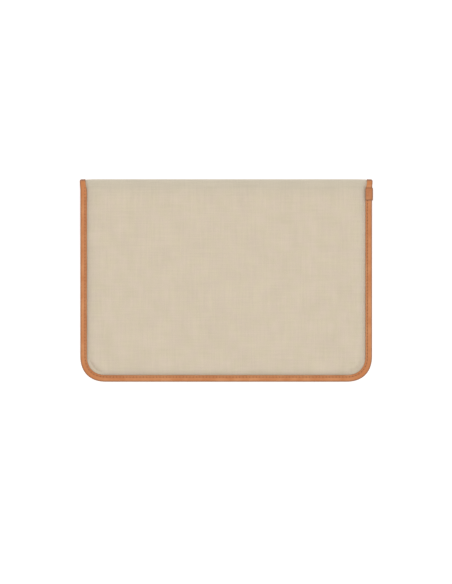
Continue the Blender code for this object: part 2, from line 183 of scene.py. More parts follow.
def fold_points(outset, x, angle):
    """Points round the fold; the angle is 0 at the back panel and pi at the flap."""
    inset = HALF_WIDTH - np.abs(x)
    rise, flap_rise = swell(inset, SHOULDER), swell(inset, FLAP_SHOULDER)
    top = BODY_MIDDLE + SEAM[3] + (FULL[5] - SEAM[3]) * rise
    bottom = FLAP_SEAM[2] + (FLAP_FULL[0] - FLAP_SEAM[2]) * flap_rise
    under = 1 - smooth((inset - BAND + UNDER_RUN) / UNDER_RUN)
    depth = FOLD_DEPTH + FOLD_BULGE - LEATHER * under + outset
    half_height = (top - bottom) / 2 + outset
    offset = (top + bottom) / 2 - FOLD_CENTRE
    sine, cosine = np.sin(angle), np.cos(angle)
    a = (sine / depth) ** 2 + (cosine / half_height) ** 2
    b = -2 * offset * cosine / half_height**2
    c = (offset / half_height) ** 2 - 1
    ray = (-b + np.sqrt(b * b - 4 * a * c)) / (2 * a)
    y = FOLD_START + ray * sine
    points = (x + np.sign(x) * flare_at(y) * (1 - rise), y, FOLD_CENTRE + ray * cosine)
    return np.stack(np.broadcast_arrays(*points), axis=-1)


def spaced(start, end, fine, coarse, margin):
    """Places from start to end, fine within the margin of each end and coarse between."""
    near = np.arange(0, margin, fine)
    steps = max(2, round((end - start - 2 * margin) / coarse))
    middle = np.linspace(start + margin, end - margin, steps)
    return np.concatenate([start + near, middle, (end - near)[::-1]])


def set_look(obj, finish):
    obj.data.materials.append(finish)


def build(name, points, faces, normals, uv, edge, finish, stretch=None):
    """A mesh object with smooth normals given per point, UVs in metres and its edge distance."""
    mesh = bpy.data.meshes.new(name)
    mesh.from_pydata(points.tolist(), [], faces)
    work = bmesh.new()
    work.from_mesh(mesh)
    bmesh.ops.recalc_face_normals(work, faces=work.faces)
    work.to_mesh(mesh)
    work.free()
    mesh.shade_smooth()
    corner = np.empty(len(mesh.loops), np.int32)
    mesh.loops.foreach_get("vertex_index", corner)
    totals = np.empty(len(mesh.polygons), np.int32)
    mesh.polygons.foreach_get("loop_total", totals)
    flat = np.empty(len(mesh.polygons) * 3, np.float32)
    mesh.polygons.foreach_get("normal", flat)
    face_normal = np.repeat(flat.reshape(-1, 3), totals, axis=0)
    wanted = normals[corner]
    facing = (wanted * face_normal).sum(axis=1)
    wanted = np.where(facing[:, None] < 0, -wanted, wanted)
    wanted = np.where(np.abs(facing)[:, None] < 0.6, face_normal, wanted)
    mesh.normals_split_custom_set(wanted.tolist())
    layer = mesh.uv_layers.new(name="UVMap")
    layer.data.foreach_set("uv", uv[corner].astype(np.float32).ravel())
    attribute = mesh.attributes.new("edge", "FLOAT", "POINT")
    attribute.data.foreach_set("value", edge.astype(np.float32))
    if stretch is not None:
        attribute = mesh.attributes.new("stretch", "FLOAT", "POINT")
        attribute.data.foreach_set("value", stretch.astype(np.float32))
    made = bpy.data.objects.new(name, mesh)
    bpy.context.scene.collection.objects.link(made)
    set_look(made, finish)
    return made


def grid_normals(grid, wrap=False):
    """Unit normals of a grid of points; wrap says that its first axis closes on itself."""
    if wrap:
        along = np.roll(grid, -1, axis=0) - np.roll(grid, 1, axis=0)
    else:
        along = np.gradient(grid, axis=0)
    out = np.cross(np.gradient(grid, axis=1), along)
    return out / np.maximum(np.linalg.norm(out, axis=-1, keepdims=True), 1e-12)


def thin_sheet(name, outer, inner, normals, uv, edge, finish, slot):
    """A closed sheet of cloth between two matching grids of points."""
    rows, columns = outer.shape[:2]
    count = rows * columns
    index = np.arange(count).reshape(rows, columns)
    quads = np.stack([index[:-1, :-1], index[:-1, 1:], index[1:, 1:], index[1:, :-1]], axis=-1)
    front = quads.reshape(-1, 4)
    back = front[:, [0, 3, 2, 1]] + count
    rim = np.concatenate([index[0], index[1:, -1], index[-1, -2::-1], index[-2:0:-1, 0]])
    after = np.roll(rim, -1)
    walls = np.stack([after, rim, rim + count, after + count], axis=-1)
    faces = np.concatenate([front, back, walls]).tolist()
    points = np.concatenate([outer.reshape(-1, 3), inner.reshape(-1, 3)])
    turned = normals.reshape(-1, 3)
    return build(
        name, points, faces, np.concatenate([turned, -turned]), np.tile(uv.reshape(-1, 2), (2, 1)),
        np.tile(edge.ravel(), 2), finish,
    )


def swept(name, rails, normals, uv, edge, finish, stretch=None):
    """A closed profile carried along a path: rails[k, j] is profile point k at station j."""
    sides, stations = rails.shape[:2]
    index = np.arange(sides * stations).reshape(sides, stations)
    after = np.roll(index, -1, axis=0)
    quads = np.stack([index[:, :-1], index[:, 1:], after[:, 1:], after[:, :-1]], axis=-1)
    faces = quads.reshape(-1, 4).tolist()
    faces += [index[:, 0].tolist(), index[::-1, -1].tolist()]
    return build(
        name, rails.reshape(-1, 3), faces, normals.reshape(-1, 3), uv.reshape(-1, 2),
        edge.ravel(), finish, None if stretch is None else stretch.ravel(),
    )


# ---------------------------------------------------------------- materials


def tree_of(name):
    made = bpy.data.materials.new(name)
    made.use_nodes = True
    return made, made.node_tree, made.node_tree.nodes["Principled BSDF"]


def node(tree, kind, sockets=(), **settings):
    """A shader node with its settings, and with values or links on its inputs."""
    made = tree.nodes.new(kind)
    for key, value in settings.items():
        setattr(made, key, value)
    for key, value in dict(sockets).items():
        if isinstance(value, bpy.types.NodeSocket):
            tree.links.new(value, made.inputs[key])
        else:
            made.inputs[key].default_value = value
    return made


def maths(tree, operation, a, b=0.0):
    return node(tree, "ShaderNodeMath", {0: a, 1: b}, operation=operation).outputs[0]


def ramp(tree, value, low, high, start=0.0, end=1.0):
    """Maps low..high of a value to start..end, smoothly and with clamped ends."""
    sockets = {"Value": value, "From Min": low, "From Max": high, "To Min": start, "To Max": end}
    return node(tree, "ShaderNodeMapRange", sockets, interpolation_type="SMOOTHSTEP").outputs[0]


def mix(tree, factor, a, b, blend="MIX"):
    sockets = {0: factor, 6: a, 7: b}
    return node(tree, "ShaderNodeMix", sockets, data_type="RGBA", blend_type=blend).outputs[2]


def noise(tree, vector, scale, detail=3.0, roughness=0.55):
    sockets = {"Vector": vector, "Scale": scale, "Detail": detail, "Roughness": roughness}
    return node(tree, "ShaderNodeTexNoise", sockets).outputs["Fac"]


def stretched(tree, vector, x, y):
    """Texture coordinates in metres scaled by different amounts along and across."""
    return node(tree, "ShaderNodeMapping", {"Vector": vector, "Scale": (x, y, 1)}).outputs[0]


def surface_place(tree):
    """The UV in metres, and its two parts."""
    uv = node(tree, "ShaderNodeUVMap", uv_map="UVMap").outputs[0]
    parts = node(tree, "ShaderNodeSeparateXYZ", {0: uv})
    return uv, parts.outputs[0], parts.outputs[1]


def attribute(tree, name):
    """A number that the mesh keeps at each point, such as the distance in from its edge."""
    return node(tree, "ShaderNodeAttribute", attribute_name=name).outputs["Fac"]


def times(tree, a, b):
    return maths(tree, "MULTIPLY", a, b)


def plus(tree, a, b):
    return maths(tree, "ADD", a, b)


def grey(tree, value):
    return node(tree, "ShaderNodeCombineColor", {0: value, 1: value, 2: value}).outputs[0]


def finish_shader(tree, shader, base, rough, height, strength, distance):
    """Links the colour, roughness and bump of a material."""
    tree.links.new(base, shader.inputs["Base Color"])
    tree.links.new(rough, shader.inputs["Roughness"])
    sockets = {"Height": height, "Strength": strength, "Distance": distance}
    bump = node(tree, "ShaderNodeBump", sockets)
    tree.links.new(bump.outputs[0], shader.inputs["Normal"])


def woven(name, colour, other, shade, thread, strength, roughness, sheen):
    """Plain-woven cloth with slubby yarns, mottled colour, and painted shade that greys it beside
    the flattened seams and over the fold.
    """
    made, tree, shader = tree_of(name)
    uv, u, v = surface_place(tree)
    edge = attribute(tree, "edge")
    turns = 2 * math.pi / thread
    warp = maths(tree, "SINE", times(tree, u, turns))
    weft = maths(tree, "SINE", times(tree, v, turns))
    over = times(tree, warp, weft)
    slub_across = noise(tree, stretched(tree, uv, 22, 620), 1.0, 4.0)
    slub_along = noise(tree, stretched(tree, uv, 620, 26), 1.0, 4.0)
    mottle = noise(tree, uv, 34, 5.0, 0.6)
    fleck = noise(tree, uv, 900, 2.0)
    yarns = times(tree, plus(tree, slub_across, slub_along), 0.5)
    tone = plus(tree, times(tree, yarns, 0.30), times(tree, mottle, 0.18))
    tone = plus(tree, tone, times(tree, fleck, 0.12))
    tone = plus(tree, tone, times(tree, over, 0.035))
    tint = grey(tree, ramp(tree, tone, 0.14, 0.46, 0.90, 1.10))
    dye = ramp(tree, noise(tree, uv, 75, 3.0), 0.35, 0.65)
    body = mix(tree, 1.0, mix(tree, dye, (*colour, 1), (*other, 1)), tint, "MULTIPLY")
    # Painted shade: the cloth is mixed towards the shade colour beside the seams, and more over
    # the fold, where the edge attribute is held low
    seam = ramp(tree, edge, BAND, BAND + 0.010, 0.35, 0.0)
    near_seam = plus(tree, seam, ramp(tree, edge, BAND - FOLD_SHADE, BAND, 0.40, 0.0))
    base = mix(tree, near_seam, body, mix(tree, 1.0, (*shade, 1), tint, "MULTIPLY"))
    rough = ramp(tree, tone, 0.10, 0.50, roughness + 0.06, roughness - 0.05)
    height = plus(tree, times(tree, over, 0.5), times(tree, yarns, 1.6))
    finish_shader(tree, shader, base, rough, height, strength, thread / 5)
    shader.inputs["Sheen Weight"].default_value = sheen
    shader.inputs["Sheen Roughness"].default_value = 0.6
    shader.inputs["Specular IOR Level"].default_value = 0.2
    return made


def leather(name, colour, dark, rich, holes):
    """Smooth vegetable-tanned leather: pores, darker cut edges, painted shade on its rounded outer
    edge, at the fold's crest and in the stitch holes, and shade by the stitches.
    """
    made, tree, shader = tree_of(name)
    uv, u, _ = surface_place(tree)
    edge = attribute(tree, "edge")
    blotch = noise(tree, uv, 60, 4.0, 0.6)
    streak = noise(tree, stretched(tree, uv, 30, 260), 1.0, 3.0)
    cells = {"Vector": uv, "Scale": 1100.0}
    pores = node(tree, "ShaderNodeTexVoronoi", cells, feature="F1").outputs[0]
    grain = noise(tree, uv, 2300, 3.0)
    tone = plus(tree, times(tree, blotch, 0.6), times(tree, streak, 0.4))
    base = mix(tree, ramp(tree, tone, 0.36, 0.66), (*rich, 1), (*colour, 1))
    line = maths(tree, "ABSOLUTE", maths(tree, "SUBTRACT", edge, STITCH_INSET))
    by_line = ramp(tree, line, 0.0003, 0.0017, 0.55, 0.0)
    base = mix(tree, by_line, base, (*rich, 1))
    stretch = attribute(tree, "stretch")
    base = mix(tree, times(tree, stretch, 0.75), base, (*rich, 1))
    # Painted shade on the rounded outer edge and at the fold's crest (outer); the cut free edge is
    # darker in itself (inner)
    outer = ramp(tree, edge, 0.0001, 0.0014, 0.85, 0.0)
    inner = ramp(tree, edge, BAND - 0.0010, BAND - 0.0005, 0.0, 0.7)
    base = mix(tree, maths(tree, "MAXIMUM", outer, inner), base, (*dark, 1))
    if holes:
        # Painted shade in the stitch holes: dark spots between the stitches
        phase = maths(tree, "FRACT", maths(tree, "DIVIDE", u, PITCH))
        along = times(tree, maths(tree, "ABSOLUTE", maths(tree, "SUBTRACT", phase, 0.5)), PITCH)
        gap = maths(tree, "SUBTRACT", PITCH / 2, along)
        squares = [maths(tree, "POWER", part, 2.0) for part in (gap, line)]
        far = maths(tree, "SQRT", plus(tree, *squares))
        base = mix(tree, ramp(tree, far, 0.0004, 0.0010, 0.85, 0.0), base, (*dark, 1))
    tint = grey(tree, ramp(tree, pores, 0.0, 0.35, 0.93, 1.03))
    base = mix(tree, 1.0, base, tint, "MULTIPLY")
    rough = ramp(tree, tone, 0.3, 0.7, 0.5, 0.62)
    height = plus(tree, pores, times(tree, grain, 0.5))
    finish_shader(tree, shader, base, rough, height, 0.35, 0.00012)
    shader.inputs["Specular IOR Level"].default_value = 0.35
    return made


def twisted(name, colour, dark):
    """Waxed sewing thread with its ply twist."""
    made, tree, shader = tree_of(name)
    uv, u, v = surface_place(tree)
    turn = plus(tree, times(tree, u, 2 * math.pi / PLY_LENGTH), times(tree, v, PLY_SLANT))
    ply = maths(tree, "SINE", turn)
    tone = plus(tree, times(tree, ply, 0.3), noise(tree, uv, 3000, 2.0))
    base = mix(tree, ramp(tree, tone, 0.2, 0.8), (*dark, 1), (*colour, 1))
    rough = ramp(tree, tone, 0.2, 0.8, 0.7, 0.55)
    finish_shader(tree, shader, base, rough, ply, 0.5, 0.0001)
    return made


def object_noise(name, colour, other, scale, roughness, metallic, strength):
    """A material in the object's own coordinates, for the CAD nodes that stay and the padding."""
    made, tree, shader = tree_of(name)
    place = node(tree, "ShaderNodeTexCoord").outputs["Object"]
    cells = node(tree, "ShaderNodeTexVoronoi", {"Vector": place, "Scale": scale}).outputs[0]
    cloud = noise(tree, place, scale / 6, 4.0)
    base = mix(tree, ramp(tree, cloud, 0.3, 0.7), (*colour, 1), (*other, 1))
    rough = ramp(tree, cloud, 0.3, 0.7, roughness - 0.05, roughness + 0.05)
    finish_shader(tree, shader, base, rough, cells, strength, 0.0003)
    shader.inputs["Metallic"].default_value = metallic
    return made


# Leather colours for the binding and the lap: tan, a dark for cut edges and for painted shade, and
# a richer tan
TAN, CUT_EDGE_AND_SHADE, RICH_TAN = (0.620, 0.268, 0.108), (0.250, 0.096, 0.040), (0.520, 0.180, 0.054)
LAP_TAN, LAP_EDGE, LAP_RICH = (0.545, 0.235, 0.098), (0.200, 0.075, 0.032), (0.450, 0.155, 0.050)

CANVAS_LOOK = woven(
    "canvas_weave", (0.650, 0.550, 0.432), (0.640, 0.554, 0.412), (0.585, 0.520, 0.405),
    thread=0.00066, strength=0.5, roughness=0.88, sheen=0.15,
)
LINING_LOOK = woven(
    "lining_weave", (0.520, 0.430, 0.310), (0.505, 0.425, 0.315), (0.470, 0.390, 0.285),
    thread=0.00042, strength=0.3, roughness=0.78, sheen=0.2,
)
BINDING_LOOK = leather("leather_stitched", TAN, CUT_EDGE_AND_SHADE, RICH_TAN, holes=True)
LEATHER_LOOK = leather("leather_plain", TAN, CUT_EDGE_AND_SHADE, RICH_TAN, holes=False)
LAP_LOOK = leather("leather_lap", LAP_TAN, LAP_EDGE, LAP_RICH, holes=False)
THREAD_LOOK = twisted("thread_ply", (0.520, 0.250, 0.115), (0.330, 0.135, 0.055))
FOAM_LOOK = object_noise(
    "foam_cells", (0.70, 0.69, 0.65), (0.64, 0.62, 0.57),
    scale=1400, roughness=0.9, metallic=0.0, strength=0.4,
)
MAGNET_LOOK = object_noise(
    "magnet_plate", (0.55, 0.55, 0.56), (0.46, 0.46, 0.48),
    scale=700, roughness=0.32, metallic=1.0, strength=0.15,
)


# ---------------------------------------------------------------- padded panels

# Grid steps: fine within the margin along each edge, and coarse between
FINE, COARSE, FLAP_COARSE, MARGIN = 0.001, 0.0024, 0.002, 0.030
FOAM_FINE, FOAM_COARSE = 0.002, 0.004
COLUMNS = spaced(-HALF_WIDTH + SHEET_INSET, HALF_WIDTH - SHEET_INSET, FINE, COARSE, MARGIN)
BACK_ROWS = spaced(FOOT + SHEET_INSET, FOLD_START, FINE, COARSE, MARGIN)
FLAP_ROWS = spaced(FLAP_FOOT + SHEET_INSET, FOLD_START, FINE, FLAP_COARSE, MARGIN)[::-1]
ANGLES = np.radians(np.arange(0, 180 + ANGLE_STEP / 2, ANGLE_STEP))
FRONT_FULL_END = FOLD_START - BAND - MOUTH_RAMP
FRONT_ROWS = np.concatenate([
    spaced(FOOT + SHEET_INSET, FRONT_FULL_END, FINE, COARSE, MARGIN),
    np.linspace(FRONT_FULL_END, FOLD_START - SHEET_INSET, 14)[1:],
])
FOAM_INSET = BAND + 0.35 * SHOULDER

# The cloth simulation that swells the canvas, which fades out before it is under the flap
FLAP_ROOM = 0.004
FLAP_ROOM_RUN = 0.02
PUFF_STEP = 0.004
PUFF_FRAMES = 20
PUFF_PASSES = 3
PUFF_HELD = 0.001
PUFF_HELD_BY_FOLD = 0.006
SIM_PRESSURE = 4.0


def puff(x, y, heights, outward):
    """Cloth simulation of one of the pocket's panels on a coarse grid.
    """
    coarse_x = np.linspace(x.min(), x.max(), round((x.max() - x.min()) / PUFF_STEP) + 1)
    coarse_y = np.linspace(y.min(), y.max(), round((y.max() - y.min()) / PUFF_STEP) + 1)
    if outward < 0:
        coarse_x = coarse_x[::-1]
    grid_x, grid_y = np.meshgrid(coarse_x, coarse_y)
    px, py, inset = round_corners(grid_x, grid_y, FOOT)
    pz = heights(inset)
    rows, columns = px.shape
    index = np.arange(rows * columns).reshape(rows, columns)
    quads = np.stack([index[:-1, :-1], index[:-1, 1:], index[1:, 1:], index[1:, :-1]], axis=-1)
    mesh = bpy.data.meshes.new("puff")
    start = np.stack([px, py, pz], axis=-1).reshape(-1, 3)
    mesh.from_pydata(start.tolist(), [], quads.reshape(-1, 4).tolist())
    piece = bpy.data.objects.new("puff", mesh)
    bpy.context.scene.collection.objects.link(piece)
    held = piece.vertex_groups.new(name="held")
    still = (inset < BAND + PUFF_HELD) | (grid_y > FOLD_START - PUFF_HELD_BY_FOLD)
    held.add(index[still].tolist(), 1.0, "REPLACE")
    cloth = piece.modifiers.new("Cloth", "CLOTH")
    settings = cloth.settings
    settings.quality = 5
    settings.mass = 0.3
    settings.tension_stiffness = 15
    settings.compression_stiffness = 15
    settings.bending_stiffness = 0.8
    settings.vertex_group_mass = "held"
    settings.shrink_min = -0.006
    settings.use_pressure = True
    settings.uniform_pressure_force = SIM_PRESSURE
    settings.effector_weights.gravity = 0
    cloth.point_cache.frame_end = PUFF_FRAMES
    scene = bpy.context.scene
    for step in range(1, PUFF_FRAMES + 1):
        scene.frame_set(step)
    shown = piece.evaluated_get(bpy.context.evaluated_depsgraph_get())
    end = np.empty(rows * columns * 3, np.float32)
    shown.data.vertices.foreach_get("co", end)
    moved = (end.reshape(-1, 3) - start)[:, 2].reshape(rows, columns) * outward
    scene.frame_set(1)
    bpy.data.objects.remove(piece, do_unlink=True)
    moved = np.where(still, 0, PUFF_CAP * np.tanh(np.clip(moved, -PUFF_CAP / 3, None) / PUFF_CAP))
    if outward < 0:
        coarse_x, moved = coarse_x[::-1], moved[:, ::-1]
    by_x = np.stack([np.interp(x, coarse_x, line) for line in moved])
    fine = np.stack([np.interp(y, coarse_y, line) for line in by_x.T], axis=1)
    for _ in range(PUFF_PASSES):
        for axis in (0, 1):
            fine = (np.roll(fine, 1, axis) + 2 * fine + np.roll(fine, -1, axis)) / 4
    return fine


def canvas_height(side):
    """The height of the pocket's outer canvas by its inset: side 1 is the back, -1 the front."""
    def height(inset):
        return BODY_MIDDLE + side * (SEAM[3] + (FULL[5] - SEAM[3]) * swell(inset, SHOULDER))
    return height


def back_relief(x, y, inset):
    """Crown and gentle waves of the back panel, in metres outwards; its flattened corners come
    from back_rise.
    """
    middle, half = (FOOT + FOLD_START) / 2, (FOLD_START - FOOT) / 2
    across = 1 - np.abs(x / HALF_WIDTH) ** CROWN_POWER
    along = 1 - np.abs((y - middle) / half) ** CROWN_POWER
    inside = smooth((inset - BAND) / SHOULDER)
    uneven = WAVE * waves(x, y, WAVE_COUNT, *WAVE_LENGTHS) * inside
    return CROWN * across * along + uneven


def back_rise(x, y, inset):
    """How far the back panel has swollen: at its lower corners it starts with a flat ledge."""
    rise = swell(inset, SHOULDER)
    ledge = swell(inset - CORNER_LEDGE, CORNER_SHOULDER)
    for side, share in LEDGE_SHARES:
        turn = np.arctan2(FOOT + CORNER_REACH - y, side * x - (HALF_WIDTH - CORNER_REACH))
        corner = (side * x > HALF_WIDTH - CORNER_REACH) & (y < FOOT + CORNER_REACH)
        around = np.where(corner, np.exp(-(((turn - math.pi / 4) / LEDGE_SPREAD) ** 4)), 0)
        rise = rise + share * around * (np.minimum(ledge, rise) - rise)
    return rise


def flap_rise(x, y, inset):
    """How far the flap has swollen; it is asked in the same way as back_rise."""
    return swell(inset, FLAP_SHOULDER)


def sheet_levels(pairs, datum, rise_of, x, y, foot, relief):
    """The outer and inner grids of one sheet on one panel."""
    grid_x, grid_y = np.meshgrid(x, y)
    px, py, inset = round_corners(grid_x, grid_y, foot)
    rise = rise_of(px, py, inset)
    made = []
    for seam, full in pairs:
        pz = datum + seam + (full - seam) * rise + relief
        made.append(np.stack([px, py, pz], axis=-1))
    return made, inset


def fold_levels(back_pairs, flap_pairs, ends, x, relief):
    """The outer and inner grids of one sheet round the fold, sloping in from both panels."""
    inset = HALF_WIDTH - np.abs(x)
    rise, flap_rise = swell(inset, SHOULDER), swell(inset, FLAP_SHOULDER)
    degrees = np.degrees(ANGLES)[:, None]
    from_back = 1 - smooth(degrees / LINING_SLOPE)
    from_flap = 1 - smooth((180 - degrees) / LINING_SLOPE)
    made = []
    for (seam, full), (flap_seam, flap_full), end in zip(back_pairs, flap_pairs, ends):
        back = (seam - SEAM[3]) + ((full - FULL[5]) - (seam - SEAM[3])) * rise
        at_seam, at_full = FLAP_SEAM[2] - flap_seam, FLAP_FULL[0] - flap_full
        flap = at_seam + (at_full - at_seam) * flap_rise
        outset = end + (back - end) * from_back + (flap - end) * from_flap
        fade = relief[None, :] * np.clip(np.cos(ANGLES), 0, 1)[:, None] ** 2
        made.append(fold_points(outset + fade, x[None, :], ANGLES[:, None]))
    return made


def path_uv(back, fold, flap):
    """Texture coordinates in metres: across the sleeve, and along the path over the fold."""
    middle = fold.shape[1] // 2
    arc = np.cumsum(np.linalg.norm(np.diff(fold[:, middle], axis=0), axis=1))
    u = np.concatenate([back[..., 0], fold[1:, :, 0], flap[1:, :, 0]])
    along = np.broadcast_to(FOLD_START + arc[:, None], (len(arc), fold.shape[1]))
    beyond = FOLD_START + arc[-1] + (FOLD_START - flap[1:, :, 1])
    return np.stack([u, np.concatenate([back[..., 1], along, beyond])], axis=-1)


WORDS = ("back", "fold_upper", "fold_lower", "flap")
LEAD = 0.008
RAYS = [math.radians(a) for a in SPLITS]
RAY_INSETS = (0.0, 0.004, 0.009, 0.012, 0.016, 0.05)


def fold_middle(angle):
    """The outer face of the canvas on one ray of the fold, in the middle of the sleeve."""
    return fold_points(np.array(0.0), np.array(0.0), np.array(angle))


def along_fold(angle):
    """The direction round the fold, square to one of its rays."""
    return Vector((0, math.cos(angle), -math.sin(angle)))


def ray_points(angle):
    """Points of every sheet, from the side seam inwards, on one ray of the fold."""
    outsets = (FOLD[5], 0.0, BINDING_OUTSET)
    return np.array([fold_points(o, HALF_WIDTH - i, angle) for o in outsets for i in RAY_INSETS])


def chord(first, last):
    """Where a blend starts and ends, so that it is whole at both rays of the fold."""
    starts, ends = ray_points(first), ray_points(last)
    base = fold_middle(first)
    ahead = fold_middle(last) - base
    ahead[0] = 0
    ahead /= np.linalg.norm(ahead)
    low = ((starts - base) @ ahead).max()
    high = ((ends - base) @ ahead).min()
    return Vector(base + ahead * low), Vector(base + ahead * high)


def bend(piece, part):
    """Works out where a piece would bend with the fold: part 0 leaves the pocket, and part 3
    reaches the flap.

    For those two, the start and end meet the ray where the part ends. Nothing is bent:
    the piece's transform is only baked into its mesh.
    """
    if part in (1, 2):
        start, end = chord(RAYS[part - 1], RAYS[part])
    elif part == 0:
        end = Vector(fold_middle(RAYS[0]))
        start = end - LEAD * along_fold(RAYS[0])
    else:
        start = Vector(fold_middle(RAYS[2]))
        end = start + LEAD * along_fold(RAYS[2])
    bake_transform(piece)


def over_the_fold(kind, back_pairs, flap_pairs, ends, finish, slot, nodes, back_lift):
    """One sheet from the pocket's foot over the fold to the flap's foot, in four pieces."""
    backs, inset = sheet_levels(
        back_pairs, BODY_MIDDLE, back_rise, COLUMNS, BACK_ROWS, FOOT, back_lift,
    )
    flaps, flap_inset = sheet_levels(
        flap_pairs, 0, flap_rise, COLUMNS, FLAP_ROWS, FLAP_FOOT, 0.0,
    )
    folds = fold_levels(back_pairs, flap_pairs, ends, COLUMNS, back_lift[-1])
    whole = [np.concatenate([b, f[1:], p[1:]]) for b, f, p in zip(backs, folds, flaps)]
    uv = path_uv(backs[0], folds[0], flaps[0])
    fold_inset = np.broadcast_to(HALF_WIDTH - np.abs(COLUMNS), folds[0].shape[:2])
    # The edge attribute is held low over the fold and up the back panel beside it, for the
    # canvas's painted shade there
    painted_shade_edge = BAND - FOLD_SHADE
    inset = np.minimum(inset, painted_shade_edge + SHADE_SLOPE * (FOLD_START - backs[0][..., 1]))
    edge = np.concatenate([inset, np.minimum(fold_inset[1:], painted_shade_edge), flap_inset[1:]])
    normals = grid_normals(whole[0])
    first = len(BACK_ROWS) - 1
    cuts = [0] + [first + round(a / ANGLE_STEP) for a in SPLITS] + [len(edge) - 1]
    pieces = []
    for part, word in enumerate(WORDS):
        rows = slice(cuts[part], cuts[part + 1] + 1)
        piece = thin_sheet(
            f"{kind}_{word}", whole[0][rows], whole[1][rows], normals[rows], uv[rows], edge[rows],
            finish, slot,
        )
        bend(piece, part)
        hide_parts(*nodes[part])
        pieces.append(piece)
    return pieces


def mouth_heights(pair, end, inset, y):
    """The front panel's sheets draw together over a short ramp before its mouth."""
    seam, full = pair
    close = smooth((y - FRONT_FULL_END) / MOUTH_RAMP)
    return seam + (full + (end - full) * close - seam) * swell(inset, SHOULDER)


def front_sheet(name, pairs, ends, finish, slot, nodes, lift):
    """One sheet of the pocket's front panel, which rides on the pocket."""
    grid_x, grid_y = np.meshgrid(COLUMNS[::-1], FRONT_ROWS)
    px, py, inset = round_corners(grid_x, grid_y, FOOT)
    out = lift[:, ::-1]
    grids = [
        np.stack([px, py, BODY_MIDDLE - mouth_heights(pair, end, inset, grid_y) - out], axis=-1)
        for pair, end in zip(pairs, ends)
    ]
    uv = np.stack([px, py], axis=-1)
    piece = thin_sheet(name, grids[0], grids[1], grid_normals(grids[0]), uv, inset, finish, slot)
    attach(piece, "pocket")
    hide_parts(*nodes)
    return piece


def panels():
    """The canvas and lining of the pocket, the fold and the flap."""
    grid_x, grid_y = np.meshgrid(COLUMNS, BACK_ROWS)
    px, py, inset = round_corners(grid_x, grid_y, FOOT)
    lift = back_relief(px, py, inset)
    lift = lift + puff(COLUMNS, BACK_ROWS, canvas_height(1), 1)
    canvases = over_the_fold(
        "canvas", ((SEAM[3], FULL[5]), (SEAM[2], FULL[4])),
        ((FLAP_SEAM[2], FLAP_FULL[0]), (FLAP_SEAM[3], FLAP_FULL[1])), (FOLD[0], FOLD[1]),
        CANVAS_LOOK, "canvas",
        (["back_canvas"], ["fold_canvas_1", "fold_canvas_2"], ["fold_canvas_3"], ["flap_canvas"]),
        lift,
    )
    over_the_fold(
        "lining", ((SEAM[1], FULL[1]), (SEAM[0], FULL[0])),
        ((FLAP_SEAM[4], FLAP_FULL[4]), (FLAP_SEAM[5], FLAP_FULL[5])), (FOLD[2], FOLD[3]),
        LINING_LOOK, "lining",
        (["back_lining"], ["fold_lining_1", "fold_lining_2"], ["fold_lining_3"], ["flap_lining"]),
        np.zeros_like(lift),
    )
    span_x, span_y = HALF_WIDTH - FOAM_INSET, (FOOT + FOAM_INSET, FOLD_START - CLEARANCE)
    foam_x = spaced(-span_x, span_x, FOAM_FINE, FOAM_COARSE, MARGIN)
    foam_y = spaced(*span_y, FOAM_FINE, FOAM_COARSE, MARGIN)
    grids, foam_inset = sheet_levels(
        ((SEAM[2] - CLEARANCE, FULL[3]), (SEAM[1] + CLEARANCE, FULL[2])),
        BODY_MIDDLE, back_rise, foam_x, foam_y, FOOT, 0.0,
    )
    uv, normals = grids[0][..., :2], grid_normals(grids[0])
    foam = thin_sheet("foam_back", *grids, normals, uv, foam_inset, FOAM_LOOK, "foam")
    bend(foam, 0)
    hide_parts("back_foam")
    clear = smooth((FLAP_FOOT - FLAP_ROOM - FRONT_ROWS) / FLAP_ROOM_RUN)[:, None]
    front_lift = puff(COLUMNS, FRONT_ROWS, canvas_height(-1), -1) * clear
    front = front_sheet(
        "canvas_front", ((SEAM[3], FULL[5]), (SEAM[2], FULL[4])), (MOUTH[2], MOUTH[3]),
        CANVAS_LOOK, "canvas", ["front_canvas"], front_lift,
    )
    front_sheet(
        "lining_front", ((SEAM[1], FULL[1]), (SEAM[0], FULL[0])), (MOUTH[4], MOUTH[5]),
        LINING_LOOK, "lining", ["front_lining"], np.zeros_like(front_lift),
    )


# ---------------------------------------------------------------- leather binding

# Section of the binding: its turned edge, its free edge as (distance back, depth), and the
# groove that the stitches pull as (distance aside, share of its depth)
EDGE_ROUND = 0.0022
EDGE_SWELL = 0.0004
SHOWN_BAND = BAND - 0.0005
FREE_EDGE = ((0.0, 0.0008), (0.0001, 0.0004), (0.0004, 0.0001), (0.0007, 0.0))
GROOVE = 0.00034
GROOVE_SHAPE = ((0.0013, 0), (0.0008, 0.35), (0.0004, 0.85), (0.0, 1.0))
PRESS_MEAN, PRESS_SWING, PRESS_PLAIN = 0.62, 0.38, 0.12
INNER_FACE_SHIFT = 0.02

# Its way round the panels
PATH_POINTS = 400
STATION = PITCH / 6
CORNER_STRETCH = 0.016
NECK = 0.0011
NECK_START = FOLD_START - 0.006
NECK_RUN = 0.014
# Scale of the leather's painted shade round the fold's crest
FOLD_CREST_SHADE = 0.0032
MOUTH_END_GAP = 0.0008
MOUTH_UNSTITCHED = 0.004

# The lap
LAP_BAND = BAND - 0.0009
LAP_SWELL = 0.0005
LAP_LIP = 0.0003
LAP_FLAT = 0.002
LAP_THIN = 0.00022
LAP_THIN_RUN = 0.0006

# Sections of one stitch
STITCH_SLANT = 0.0004
STITCH_SINK = 0.00012
STITCH_DIVE = 0.0006
STITCH_TAPER = 0.45
THREAD_ROUND = 0.002


